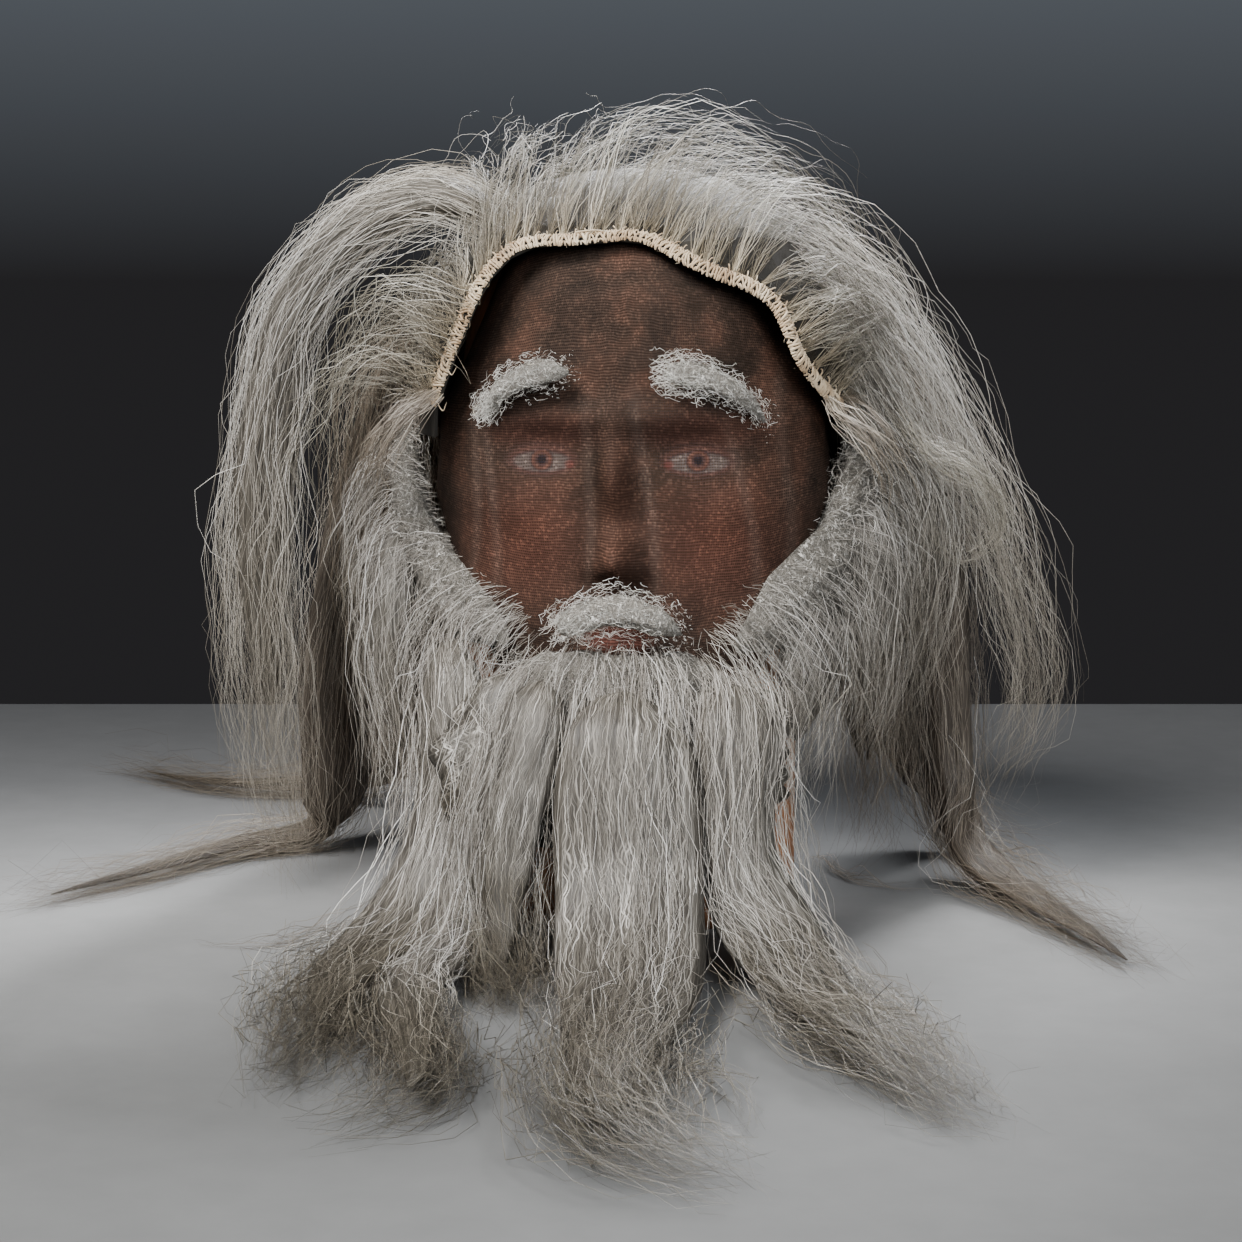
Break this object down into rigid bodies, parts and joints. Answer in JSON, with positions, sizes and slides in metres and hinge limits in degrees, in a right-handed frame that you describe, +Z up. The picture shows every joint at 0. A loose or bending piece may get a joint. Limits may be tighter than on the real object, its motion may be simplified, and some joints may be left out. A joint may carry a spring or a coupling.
{
  "type": "ceremonial mask",
  "caption": "Gauze face mask with a long-haired wig, beard, moustache and brows of sewn hair, standing on a domed wooden head block.",
  "frame": {"origin": "middle of the wooden block's flat underside", "axes": "+Z up along the block's axis, the face looks towards -Y, +X to the viewer's right in front of the face"},
  "size_m": [0.5828, 0.6653, 0.362],
  "materials": {
    "block_wood": "oiled orange-brown wood with fine upright grain and a darker foot edge",
    "painted_gauze": "thin woven gauze painted dark brown, with reddish patches, creased and a little see-through",
    "woven_band": "tan woven band with cross threads and small stitches, over a plain woven cap",
    "wig_hair": "long silver-grey hair with warm beige strands, loose and wavy",
    "beard_hair": "silver-grey hair, fine and wavy, darker and browner towards the tips",
    "face_hair": "short woolly curled hair, pale grey and cream"
  },
  "bodies": {
    "root": {"wooden_block": "block_wood", "gauze_face": "painted_gauze", "wig_cap": "woven_band", "crown_hair": "wig_hair", "wig_lock_left_arch": "wig_hair", "wig_lock_left_inner": "wig_hair", "wig_lock_left_back": "wig_hair", "wig_lock_right_front": "wig_hair", "wig_lock_right_outer": "wig_hair", "wig_lock_right_back": "wig_hair", "wig_lock_behind_left": "wig_hair", "wig_lock_back_left": "wig_hair", "wig_lock_back_right": "wig_hair", "wig_lock_behind_right": "wig_hair", "whisker_left": "beard_hair", "whisker_right": "beard_hair", "chin_beard": "beard_hair", "beard_lock_left_outer": "beard_hair", "beard_lock_left": "beard_hair", "beard_lock_left_curl": "beard_hair", "beard_lock_left_centre": "beard_hair", "beard_lock_centre": "beard_hair", "beard_lock_right": "beard_hair", "beard_cheek_right": "beard_hair", "beard_lock_right_outer": "beard_hair", "moustache": "face_hair", "brow_left": "face_hair", "brow_right": "face_hair"}
  },
  "joints": []
}
